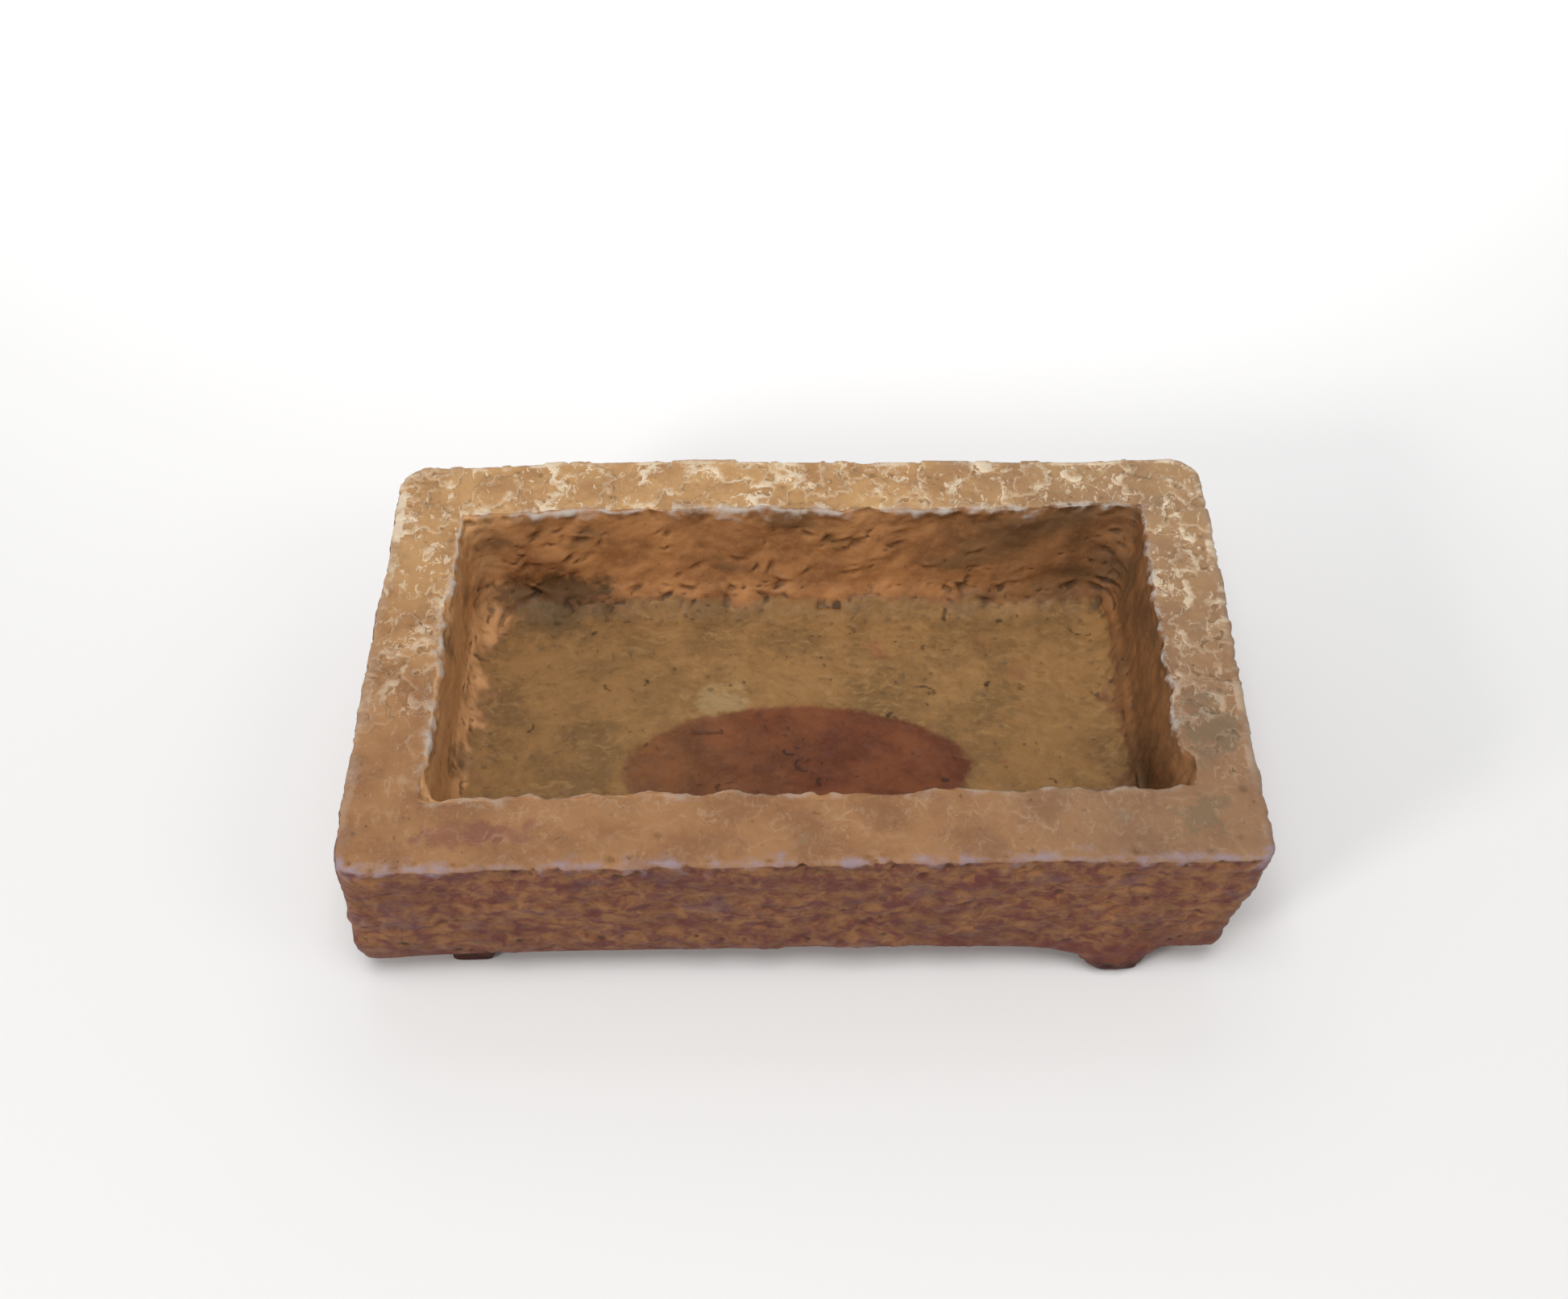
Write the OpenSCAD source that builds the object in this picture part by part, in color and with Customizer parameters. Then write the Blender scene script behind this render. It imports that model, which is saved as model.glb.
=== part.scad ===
// Rectangular bonsai pot on four small feet, built from slabs of clay, in millimetres.
// X runs along the pot's length, Y from its front to its back, and Z up.
// The origin is on the table, under the middle of the rim.
//
// The potter stands four thick wall slabs on a floor slab, presses a coil of soft clay
// into every inside seam with a fingertip, and sets the pot on four blocks for feet.

/* [Rim] */
// Length of the rim outside, along X
rim_length = 120; // [90:1:160]
// Depth of the rim outside, along Y
rim_depth = 73; // [60:1:100]
// Radius of the two front corners, seen from above
front_corner_radius = 2.5; // [1:0.5:5]
// Radius of the two back corners, seen from above
back_corner_radius = 4.5; // [1:0.5:7]

/* [Walls and floor] */
// Height of the body, from the underside of the floor slab to the rim
body_height = 23; // [18:0.5:40]
// Thickness of the floor slab
floor_thickness = 5; // [3:0.5:8]
// Thickness of the front wall at the rim
front_thickness = 11.5; // [6:0.5:14]
// Thickness of the back wall at the rim
back_thickness = 10; // [6:0.5:14]
// Thickness of the left and right walls at the rim
side_thickness = 9.5; // [6:0.5:14]

/* [Outside faces, from the rim down to the base] */
// How far the front face leans in
front_lean = 1; // [0.5:0.5:4]
// How far the back face leans in
back_lean = 1.5; // [0.5:0.5:4]
// How far the left face leans in
left_lean = 0; // [0:0.5:4]
// How far the right face leans in
right_lean = 3; // [0.5:0.5:4]

/* [Inside faces, from the rim down to the floor] */
// How far the front wall's inside face comes in
front_draft = 1.5; // [0.5:0.1:4]
// How far the back wall's inside face comes in
back_draft = 2.2; // [0.5:0.1:4]
// How far the left wall's inside face comes in
left_draft = 0.8; // [0.5:0.1:4]
// How far the right wall's inside face comes in
right_draft = 2.8; // [0.5:0.1:4]

/* [Seam coils] */
// How far a coil reaches along each of the two faces that it joins
coil_leg = 3; // [2:0.5:5]
// Thickness left at a coil's two edges
coil_edge = 0.4; // [0.3:0.1:1]
// How far below the rim the corner coils end
coil_below_rim = 1.5; // [1:0.5:4]

/* [Feet] */
// Height of the feet
foot_height = 5; // [3:0.5:8]
// Width of a foot where it meets the body
foot_top_width = 9; // [7:0.5:10]
// Width of the flat pad that stands on the table
foot_pad_width = 5.5; // [3:0.5:6]
// Distance from a side face's lower edge to a foot
foot_inset = 9; // [4:0.5:12]
// Distance from the front face's lower edge to the front right foot
front_right_set_back = 0; // [0:0.5:6]
// Distance from the front face's lower edge to the front left foot
front_left_set_back = 2; // [0:0.5:6]
// Distance from the back face's lower edge to the back feet
back_set_back = 2.5; // [0:0.5:6]

/* [Hidden] */
$fn = 96;

// Heights above the table
base_z = foot_height;
floor_z = base_z + floor_thickness;
rim_z = base_z + body_height;

// The rim's and the base's outside edges
rim_x = rim_length / 2;
rim_y = rim_depth / 2;
base_left = -rim_x + left_lean;
base_right = rim_x - right_lean;
base_front = -rim_y + front_lean;
base_back = rim_y - back_lean;

// The inside faces' upper edges, at the mouth, and their lower edges, on the floor
mouth_left = -rim_x + side_thickness;
mouth_right = rim_x - side_thickness;
mouth_front = -rim_y + front_thickness;
mouth_back = rim_y - back_thickness;
well_left = mouth_left + left_draft;
well_right = mouth_right - right_draft;
well_front = mouth_front + front_draft;
well_back = mouth_back - back_draft;

// How far a cutting solid goes past what it cuts
past = 10;
// An outside corner's arc stands this far outside its two faces, so that it crosses them cleanly
arc_outset = 0.15;

rim_tan = [0.68, 0.54, 0.41];
floor_olive = [0.51, 0.38, 0.25];
wall_plum = [0.44, 0.29, 0.24];
coil_ochre = [0.49, 0.35, 0.22];
foot_plum = [0.36, 0.22, 0.18];

// Four points of a section whose two sides lean and whose top and bottom are level
function leaning_section(low_z, low_a, low_b, high_z, high_a, high_b) =
    [[low_a, low_z], [low_b, low_z], [high_b, high_z], [high_a, high_z]];

// A section in X and Z, made into a bar along Y
module bar_along_y(length = rim_depth + 2 * past) {
    rotate([90, 0, 0])
        linear_extrude(height = length, center = true)
            children();
}

// A section in Y and Z, made into a bar along X
module bar_along_x(length = rim_length + 2 * past) {
    rotate([90, 0, 90])
        linear_extrude(height = length, center = true)
            children();
}

// The material between a corner at the origin and a round hollow that faces +X and +Y
module hollowed_corner(leg, radius, back) {
    difference() {
        translate([-back, -back])
            square(back + leg);
        translate([leg, leg])
            circle(r = radius);
    }
}

// A hollowed corner that stands along a leaning edge, from low to high, and past both.
// x_side and y_side are 1 or -1, and point from the edge to the hollow.
module standing_corner(low, high, x_side, y_side, leg, radius, back) {
    edge = high - low;
    length = norm(edge) + 2 * past;
    translate(low)
        rotate([-asin(edge.y / norm(edge)), atan(edge.x / edge.z), 0])
            translate([0, 0, -past])
                mirror([x_side < 0 ? 1 : 0, 0, 0])
                    mirror([0, y_side < 0 ? 1 : 0, 0])
                        linear_extrude(height = length)
                            hollowed_corner(leg, radius, back);
}

// Everything between two heights
module layer(low_z, high_z) {
    translate([-rim_x - past, -rim_y - past, low_z])
        cube([rim_length + 2 * past, rim_depth + 2 * past, high_z - low_z]);
}

// What an outside corner loses to its rounding
module corner_rounding(base_x, base_y, x_side, y_side, radius) {
    standing_corner([base_x, base_y, base_z], [x_side * rim_x, y_side * rim_y, rim_z],
                    -x_side, -y_side, radius - arc_outset, radius, past);
}

// The whole body as one solid block
module body_block() {
    difference() {
        intersection() {
            bar_along_y()
                polygon(leaning_section(base_z, base_left, base_right, rim_z, -rim_x, rim_x));
            bar_along_x()
                polygon(leaning_section(base_z, base_front, base_back, rim_z, -rim_y, rim_y));
        }
        corner_rounding(base_left, base_front, -1, -1, front_corner_radius);
        corner_rounding(base_right, base_front, 1, -1, front_corner_radius);
        corner_rounding(base_left, base_back, -1, 1, back_corner_radius);
        corner_rounding(base_right, base_back, 1, 1, back_corner_radius);
    }
}

// The part of the body that stands on the floor slab
module wall_block() {
    intersection() {
        body_block();
        layer(floor_z, rim_z + past);
    }
}

// The room between the front and back walls
module between_front_and_back() {
    bar_along_x()
        polygon(leaning_section(floor_z, well_front, well_back, rim_z, mouth_front, mouth_back));
}

// The open well of the pot, before the coils are pressed into its seams
module well() {
    intersection() {
        between_front_and_back();
        bar_along_y()
            polygon(leaning_section(floor_z, well_left, well_right, rim_z, mouth_left, mouth_right));
    }
}

module floor_slab() {
    color(floor_olive)
        intersection() {
            body_block();
            layer(base_z - past, floor_z);
        }
}

module front_wall() {
    far = -rim_y - past;
    color(wall_plum)
        intersection() {
            wall_block();
            bar_along_x()
                polygon(leaning_section(floor_z, far, well_front, rim_z, far, mouth_front));
        }
}

module back_wall() {
    far = rim_y + past;
    color(wall_plum)
        intersection() {
            wall_block();
            bar_along_x()
                polygon(leaning_section(floor_z, well_back, far, rim_z, mouth_back, far));
        }
}

module left_wall() {
    far = -rim_x - past;
    color(rim_tan)
        intersection() {
            wall_block();
            between_front_and_back();
            bar_along_y()
                polygon(leaning_section(floor_z, far, well_left, rim_z, far, mouth_left));
        }
}

module right_wall() {
    far = rim_x + past;
    color(rim_tan)
        intersection() {
            wall_block();
            between_front_and_back();
            bar_along_y()
                polygon(leaning_section(floor_z, well_right, far, rim_z, mouth_right, far));
        }
}

// The clay pressed along the foot of the front or the back wall, before it is trimmed to the well
module floor_coil_along_x(y, y_side) {
    translate([0, y, floor_z])
        mirror([0, y_side < 0 ? 1 : 0, 0])
            bar_along_x()
                hollowed_corner(coil_leg, coil_leg - coil_edge, coil_leg);
}

// The same along the foot of the left or the right wall
module floor_coil_along_y(x, x_side) {
    translate([x, 0, floor_z])
        mirror([x_side < 0 ? 1 : 0, 0, 0])
            bar_along_y()
                hollowed_corner(coil_leg, coil_leg - coil_edge, coil_leg);
}

module front_and_back_coils() {
    floor_coil_along_x(well_front, 1);
    floor_coil_along_x(well_back, -1);
}

module left_and_right_coils() {
    floor_coil_along_y(well_left, 1);
    floor_coil_along_y(well_right, -1);
}

module floor_coil_front() {
    color(coil_ochre)
        intersection() {
            well();
            floor_coil_along_x(well_front, 1);
        }
}

module floor_coil_back() {
    color(coil_ochre)
        intersection() {
            well();
            floor_coil_along_x(well_back, -1);
        }
}

// The left and right coils are pressed in last, so they fill up against the front and back ones
module floor_coil_left() {
    color(coil_ochre)
        difference() {
            intersection() {
                well();
                floor_coil_along_y(well_left, 1);
            }
            front_and_back_coils();
        }
}

module floor_coil_right() {
    color(coil_ochre)
        difference() {
            intersection() {
                well();
                floor_coil_along_y(well_right, -1);
            }
            front_and_back_coils();
        }
}

// A coil up an inside corner, standing on the floor coils and ending just below the rim
module corner_coil(x_side, y_side) {
    low = [x_side < 0 ? well_left : well_right, y_side < 0 ? well_front : well_back, floor_z];
    high = [x_side < 0 ? mouth_left : mouth_right, y_side < 0 ? mouth_front : mouth_back, rim_z];
    color(coil_ochre)
        difference() {
            intersection() {
                well();
                layer(floor_z - past, rim_z - coil_below_rim);
                standing_corner(low, high, -x_side, -y_side,
                                coil_leg, coil_leg - coil_edge, coil_leg);
            }
            front_and_back_coils();
            left_and_right_coils();
        }
}

module corner_coil_front_left() { corner_coil(-1, -1); }
module corner_coil_front_right() { corner_coil(1, -1); }
module corner_coil_back_left() { corner_coil(-1, 1); }
module corner_coil_back_right() { corner_coil(1, 1); }

// A block with an upright outer face, narrowed on its other three sides down to its pad
module foot(x_side, y_side, set_back) {
    half = foot_top_width / 2;
    pad = foot_pad_width / 2;
    x = x_side < 0 ? base_left + foot_inset + half : base_right - foot_inset - half;
    y = y_side < 0 ? base_front + set_back : base_back - set_back;
    color(foot_plum)
        translate([x, y, 0])
            mirror([0, y_side > 0 ? 1 : 0, 0])
                intersection() {
                    bar_along_y(3 * foot_top_width)
                        polygon(leaning_section(0, -pad, pad, foot_height, -half, half));
                    bar_along_x(2 * foot_top_width)
                        polygon(leaning_section(0, 0, foot_pad_width, foot_height, 0, foot_top_width));
                }
}

module foot_front_left() { foot(-1, -1, front_left_set_back); }
module foot_front_right() { foot(1, -1, front_right_set_back); }
module foot_back_left() { foot(-1, 1, back_set_back); }
module foot_back_right() { foot(1, 1, back_set_back); }

floor_slab();
front_wall();
back_wall();
left_wall();
right_wall();
floor_coil_front();
floor_coil_back();
floor_coil_left();
floor_coil_right();
corner_coil_front_left();
corner_coil_front_right();
corner_coil_back_left();
corner_coil_back_right();
foot_front_left();
foot_front_right();
foot_back_left();
foot_back_right();
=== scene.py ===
# %% [markdown]
# # A small bonsai pot of rough, unglazed stoneware
#
# The real pot is made from slabs of coarse clay: a floor, four thick walls, soft coils
# thumbed into the inside seams, and four feet. The fire turned its rim ochre, its outside
# plum red and its floor olive, with one red mark where something covered it in the kiln.
#
# The plan of this lesson:
# 1. light a pale table and set the camera
# 2. fuse the frame's plain pieces into one lump of clay, as the potter's hands do
# 3. bend, roughen, tear and chip that lump
# 4. cut it back into its pieces, so that each one is a closed solid of its own
# 5. give every piece a clay material made of nodes

import math

import bmesh
import bpy
import numpy as np
from mathutils import Matrix, Vector, kdtree, noise


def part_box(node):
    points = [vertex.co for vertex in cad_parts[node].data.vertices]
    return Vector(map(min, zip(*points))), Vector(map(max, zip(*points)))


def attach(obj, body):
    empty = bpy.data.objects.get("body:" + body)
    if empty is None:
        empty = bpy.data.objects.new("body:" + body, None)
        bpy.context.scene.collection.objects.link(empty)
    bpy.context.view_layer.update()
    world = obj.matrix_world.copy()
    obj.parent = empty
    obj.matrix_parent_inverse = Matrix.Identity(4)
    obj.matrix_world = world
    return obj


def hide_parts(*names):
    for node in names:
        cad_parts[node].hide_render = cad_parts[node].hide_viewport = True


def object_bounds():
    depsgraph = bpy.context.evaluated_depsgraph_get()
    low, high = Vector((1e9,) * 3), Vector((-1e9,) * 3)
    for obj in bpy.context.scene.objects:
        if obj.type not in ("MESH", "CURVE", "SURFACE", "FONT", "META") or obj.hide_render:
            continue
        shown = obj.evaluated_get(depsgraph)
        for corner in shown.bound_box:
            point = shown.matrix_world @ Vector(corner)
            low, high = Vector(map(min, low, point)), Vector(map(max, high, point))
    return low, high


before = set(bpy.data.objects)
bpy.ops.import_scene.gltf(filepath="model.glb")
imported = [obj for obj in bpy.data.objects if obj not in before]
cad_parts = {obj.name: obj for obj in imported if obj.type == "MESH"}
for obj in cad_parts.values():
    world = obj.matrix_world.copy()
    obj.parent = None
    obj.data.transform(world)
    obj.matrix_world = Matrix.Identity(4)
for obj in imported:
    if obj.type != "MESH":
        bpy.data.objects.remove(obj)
cad_box = [list(corner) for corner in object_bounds()]
print("frame box, metres:", cad_box)

# %% [markdown]
# ## Millimetres
#
# Blender's unit here is the metre, but clay is easier to think about in millimetres. The clay
# is shaped in millimetres and scaled down at the end. Every size below that has to agree
# with the frame is read from the frame: `span` finds how far a node reaches at one height.

# %% Measure the frame
MM = 0.001


def span(node, height):
    """Lowest and highest corner, in millimetres, of a node's points at one height."""
    points = [v.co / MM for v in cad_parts[node].data.vertices]
    level = [p for p in points if abs(p.z - height) < 0.01]
    return [min(p[i] for p in level) for i in range(3)], [max(p[i] for p in level) for i in range(3)]


rim_z = cad_box[1][2] / MM
base_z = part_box("floor_slab")[0][2] / MM
floor_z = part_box("floor_slab")[1][2] / MM
rim_x = cad_box[1][0] / MM
rim_y = cad_box[1][1] / MM

# Where the four inside faces meet the floor, and where they meet the rim
well = {
    "left": span("left_wall", floor_z)[1][0],
    "right": span("right_wall", floor_z)[0][0],
    "front": span("front_wall", floor_z)[1][1],
    "back": span("back_wall", floor_z)[0][1],
}
mouth = {
    "left": span("left_wall", rim_z)[1][0],
    "right": span("right_wall", rim_z)[0][0],
    "front": span("front_wall", rim_z)[1][1],
    "back": span("back_wall", rim_z)[0][1],
}
print("heights:", base_z, floor_z, rim_z)
print("well:", well, "mouth:", mouth)

# %% [markdown]
# ## Camera
#
# The pot is seen from in front and well above, as someone sees it who stands over a table.
# A roll of less than a degree keeps the view as it would be from the hand.

# %% Set the camera
LENS = 48.0
CAMERA_PLACE = (-2.5, -190.35, 252.4)
CAMERA_PITCH = 49.73
CAMERA_ROLL = -0.7

camera_data = bpy.data.cameras.new("camera")
camera_data.lens = LENS
camera_data.clip_start = 0.01
camera = bpy.data.objects.new("camera", camera_data)
bpy.context.collection.objects.link(camera)
camera.matrix_world = (
    Matrix.Translation(Vector(CAMERA_PLACE) * MM)
    @ Matrix.Rotation(math.radians(90 - CAMERA_PITCH), 4, "X")
    @ Matrix.Rotation(math.radians(CAMERA_ROLL), 4, "Z")
)
bpy.context.scene.camera = camera
print("camera at", CAMERA_PLACE, "mm")

# %% [markdown]
# ## Table and light
#
# A plain pale table and a bright, soft room. A wide lamp overhead and the pale room do most
# of the work, so the shadows are weak. A small low lamp on the left, in front, throws the two
# wedges of shadow in the well: from the front wall onto the right one, and from the left wall
# onto the back one. A lamp behind skims the rim so that broken edges catch the light, and a
# spot that misses the pot makes the far end of the table glow.

# %% Lay the table
TABLE_SIZE = 3.0

bpy.ops.mesh.primitive_plane_add(size=TABLE_SIZE)
table = bpy.context.object
table.name = "table"
table_paint = bpy.data.materials.new("table_paint")
table_paint.use_nodes = True
table_shader = table_paint.node_tree.nodes["Principled BSDF"]
table_shader.inputs["Base Color"].default_value = (0.89, 0.883, 0.878, 1)
table_shader.inputs["Roughness"].default_value = 0.9
table.data.materials.append(table_paint)
print("table", TABLE_SIZE, "m wide")

# %% Light the room
bpy.context.scene.view_settings.view_transform = "Standard"

room = bpy.data.worlds.new("room")
bpy.context.scene.world = room
room.use_nodes = True
room.node_tree.nodes["Background"].inputs["Color"].default_value = (0.97, 0.985, 1.0, 1)
room.node_tree.nodes["Background"].inputs["Strength"].default_value = 0.31


def soft_lamp(name, place, aim, size, watts, colour):
    """A square lamp at a place in metres, turned to face another place."""
    data = bpy.data.lights.new(name, "AREA")
    data.size = size
    data.energy = watts
    data.color = colour
    lamp = bpy.data.objects.new(name, data)
    bpy.context.collection.objects.link(lamp)
    lamp.location = place
    lamp.rotation_euler = (Vector(aim) - Vector(place)).to_track_quat("-Z", "Y").to_euler()
    return lamp


soft_lamp("overhead_lamp", (-0.05, -0.30, 1.17), (0, 0, 0), 0.6, 7.4, (1.0, 1.0, 1.0))
soft_lamp("key_lamp", (-0.85, -0.71, 0.51), (0, 0, 0), 0.25, 4.6, (1.0, 0.985, 0.96))
soft_lamp("answer_lamp", (0.75, -0.5, 0.8), (0, 0, 0), 0.5, 1.0, (1.0, 0.96, 0.92))
soft_lamp("back_lamp", (0.0, 0.50, 0.60), (0, 0.25, 0), 0.6, 0.7, (1.0, 1.0, 0.99))

backdrop_data = bpy.data.lights.new("backdrop_lamp", "SPOT")
backdrop_data.energy = 10.0
backdrop_data.spot_size = math.radians(62)
backdrop_data.spot_blend = 1.0
backdrop_data.shadow_soft_size = 0.1
backdrop_lamp = bpy.data.objects.new("backdrop_lamp", backdrop_data)
bpy.context.collection.objects.link(backdrop_lamp)
backdrop_lamp.location = (0.0, 0.34, 0.55)
print("lamps set")

# %% [markdown]
# ## One lump of clay
#
# The frame's pieces touch face to face. A voxel remesh fuses them into one closed skin of
# even little squares, which is what the rest of the work needs: every point can then be
# pushed about like clay. Smaller voxels keep finer detail and cost more time.

# %% Fuse the frame's pieces
VOXEL = 0.35


def evaluated_mesh(piece):
    """The mesh that a piece shows with its modifiers applied."""
    graph = bpy.context.evaluated_depsgraph_get()
    graph.update()
    return bpy.data.meshes.new_from_object(piece.evaluated_get(graph))


def new_piece(name, mesh):
    """A new object in the scene that shows this mesh."""
    piece = bpy.data.objects.new(name, mesh)
    bpy.context.collection.objects.link(piece)
    return piece


def fused(nodes, voxel):
    """One closed mesh, in millimetres, that covers all these nodes."""
    heap = bmesh.new()
    for node in nodes:
        heap.from_mesh(node.data)
    bmesh.ops.scale(heap, vec=(1 / MM, 1 / MM, 1 / MM), verts=heap.verts)
    mesh = bpy.data.meshes.new("heap")
    heap.to_mesh(mesh)
    heap.free()
    piece = new_piece("heap", mesh)
    remesh = piece.modifiers.new("fuse", "REMESH")
    remesh.mode = "VOXEL"
    remesh.voxel_size = voxel
    remesh.use_smooth_shade = True
    result = evaluated_mesh(piece)
    bpy.data.objects.remove(piece)
    return result


clay = fused(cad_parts.values(), VOXEL)
print("clay skin:", len(clay.vertices), "points")

# %% [markdown]
# ## Points as arrays
#
# There are too many points to move one by one in plain Python. Numpy moves them all at once,
# so the points, their normals and the edges between them are read into arrays. Smoothing is
# done there too: it can then be strong in one place and weak in another.

# %% Read the skin into arrays
count = len(clay.vertices)
edges = np.empty(2 * len(clay.edges), dtype=np.int64)
clay.edges.foreach_get("vertices", edges)
edges = edges.reshape(-1, 2)
neighbours = np.bincount(edges.ravel(), minlength=count)
print(len(edges), "edges; a point has", neighbours.min(), "to", neighbours.max(), "neighbours")


def read_points():
    """Every point's place, one row each."""
    flat = np.empty(3 * count)
    clay.vertices.foreach_get("co", flat)
    return flat.reshape(-1, 3)


def read_normals():
    """Which way the skin faces at every point."""
    flat = np.empty(3 * count)
    clay.vertex_normals.foreach_get("vector", flat)
    return flat.reshape(-1, 3)


def write_points(points):
    """Puts moved points back into the mesh."""
    clay.vertices.foreach_set("co", points.ravel())
    clay.update()


def smoothed(points, steps, amount=1.0):
    """Moves every point towards the middle of its neighbours, again and again."""
    a, b = edges[:, 0], edges[:, 1]
    amount = np.broadcast_to(amount, (count,))[:, None]
    for _ in range(steps):
        total = np.empty_like(points)
        for i in range(3):
            total[:, i] = np.bincount(a, points[b, i], count) + np.bincount(b, points[a, i], count)
        points = points + amount * (total / neighbours[:, None] - points)
    return points

# %% Smooth by a width, and mask by a range
def steps_for(width):
    """How many smoothing steps even out everything narrower than about this width."""
    return max(1, round(2 * (width / VOXEL) ** 2))


def between(low, high, value):
    """0 below low, 1 above high, and an even S-curve in between."""
    t = np.clip((value - low) / (high - low), 0, 1)
    return t * t * (3 - 2 * t)


print("smoothing away 1 mm takes", steps_for(1.0), "steps")

# %% [markdown]
# ## Where each point is
#
# The rim, the outside, the inside walls and the floor are all worked differently. A few
# soft masks, from 0 to 1, say where each point lies.

# %% Find the regions
points = read_points()
x, y, z = points.T


def inside_face(side, height):
    """Where an inside face is at a height: it leans from the floor to the rim."""
    return well[side] + (mouth[side] - well[side]) * (height - floor_z) / (rim_z - floor_z)


# Distances into the well from its four faces, negative in the clay
from_left = x - inside_face("left", z)
from_right = inside_face("right", z) - x
from_front = y - inside_face("front", z)
from_back = inside_face("back", z) - y
into_well = np.minimum(np.minimum(from_left, from_right), np.minimum(from_front, from_back))

in_well = between(-0.5, -0.2, into_well) * between(floor_z - 1, floor_z - 0.5, z)
rim = between(rim_z - 1.2, rim_z - 0.3, z) * (1 - in_well)
shore = np.array([noise.fractal(c, 0.8, 2.0, 3) for c in (points / 6.0).tolist()])
on_floor = in_well * between(floor_z + 2.4, floor_z + 0.4, z - 1.6 * shore + 1.0 * between(8, 3, from_left))
inside_wall = in_well * (1 - on_floor)
foot = between(base_z - 0.1, base_z - 1.0, z)
under = between(base_z + 0.8, base_z + 0.2, z) * (1 - foot)
outside = (1 - in_well) * (1 - rim) * (1 - under)
print("share of points on the rim:", round(rim.mean(), 2), "outside:", round(outside.mean(), 2),
      "inside walls:", round(inside_wall.mean(), 2), "floor:", round(on_floor.mean(), 2))

# %% [markdown]
# ## Soft edges
#
# Wet clay has no sharp edges, so the whole skin is smoothed a little. The mouth keeps the
# crispest edge, because a knife trimmed it.

# %% Soften the edges
near_mouth = between(2.5, 0.8, np.abs(into_well)) * between(rim_z - 3, rim_z - 1.5, z)
points = smoothed(points, steps_for(0.4))
points = smoothed(points, steps_for(0.65), 1 - near_mouth)
write_points(points)
print("edges softened")

# %% [markdown]
# ## Bent by hand
#
# Nothing on the pot is quite straight. `wobble` bends the skin in slow waves, and each
# `press` is one push of a thumb: a place, how wide it is, and which way the clay moved.

# %% Make smooth noise
def field(points, size, seed=0, stretch=(1, 1, 1), octaves=1):
    """Smooth noise, about -1 to 1, whose bumps are about `size` millimetres apart."""
    shift = seed * np.array([13.7, 7.1, 29.3])
    cells = (points / (size * np.array(stretch)) + shift).tolist()
    if octaves == 1:
        return np.array([noise.noise(c) for c in cells])
    return np.array([noise.fractal(c, 0.8, 2.0, octaves) for c in cells])


def vector_field(points, size, seed=0):
    """Three smooth noises at once, as a push for each point."""
    shift = seed * np.array([5.3, 17.9, 3.1])
    return np.array([noise.noise_vector(c) for c in (points / size + shift).tolist()])


print("noise at the first point:", field(points[:1], 10.0).round(3))

# %% Bend the whole pot
WOBBLE_SIZE = 30.0
WOBBLE = 0.45
standing = between(0.3, 3.0, points[:, 2])[:, None]
wobble = WOBBLE * vector_field(points, WOBBLE_SIZE, seed=1)
wobble[:, 2] *= 0.6
points = points + standing * wobble
write_points(points)
print("largest wobble:", round(float(np.abs(wobble).max()), 2), "mm")

# %% Press it with a thumb
def press(points, place, width, push):
    """How one soft push at a place moves every point."""
    away = ((points - np.array(place)) ** 2).sum(axis=1)
    return np.exp(-away / (2 * width ** 2))[:, None] * np.array(push)


PRESSES = [
    # place, width, push
    ((-60, -35, 5), 7, (-0.9, -0.3, -0.7)),    # the front left lower corner sags
    ((-60, 5, 8), 16, (-0.5, 0, 0)),           # the left wall bellies out
    ((-60, -30, 26), 9, (-0.4, -0.3, 0)),
    ((8, -35.5, 5), 16, (0, 0.1, 0.9)),        # the front's lower edge arches in the middle
    ((59, -33, 24), 7, (0.5, -0.3, 0)),        # the front right corner swells below the rim
    ((57, -33, 9), 6, (-0.6, 0.2, 0)),         # and is drawn in above the foot
    ((-60, 24, 20), 11, (0.9, 0, 0)),          # the left wall is drawn in towards the back
    ((-25, 36, 24), 17, (0, 0.9, 0.1)),        # the back wall bellies out on the left
    ((50.5, -22.5, 27.5), 2.4, (1.5, 0.3, 0)),  # the mouth is notched in its front right corner
    ((46, 25, 25), 4, (0.8, 1.2, 0)),          # and worn hollow in its back right corner
    ((38.5, -35.5, 3), 3, (-0.8, -0.3, -1.2)),  # the foot is smeared onto the slab at its left
    ((43.5, -35.5, 2.5), 4, (0, -0.9, 0)),     # the front right foot stands proud
]
pressed = sum(press(points, place, width, push) for place, width, push in PRESSES)
pressed[:, 2] *= between(0.3, 4.0, points[:, 2])
points = points + pressed
write_points(points)
print(len(PRESSES), "presses, the deepest", round(float(np.abs(pressed).max()), 2), "mm")

# %% [markdown]
# ## Rough clay
#
# From here on the skin only moves along its own normals. Each kind of working adds its part
# to one list of heights, in millimetres, and the skin is moved once at the end.

# %% Start the list of heights
normals = read_normals()
height = np.zeros(count)
rng = np.random.default_rng(7)

finder = kdtree.KDTree(count)
for index, point in enumerate(points.tolist()):
    finder.insert(point, index)
finder.balance()


def around(place, reach):
    """The points within reach of a place, and how far away each one is."""
    found = finder.find_range(place, reach)
    return np.array([f[1] for f in found], dtype=int), np.array([f[2] for f in found])


def scatter(mask, how_many):
    """Random places on the skin where a mask is strong."""
    return points[rng.choice(count, how_many, p=mask / mask.sum())]


print("points within 1 mm of the first one:", len(around(points[0], 1.0)[0]))

# %% Make the two smallest marks
def pit(place, radius, depth):
    """Presses one small round pit."""
    near, away = around(place, radius)
    if len(near):
        height[near] -= depth * (1 - (away / radius) ** 2) ** 2


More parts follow.
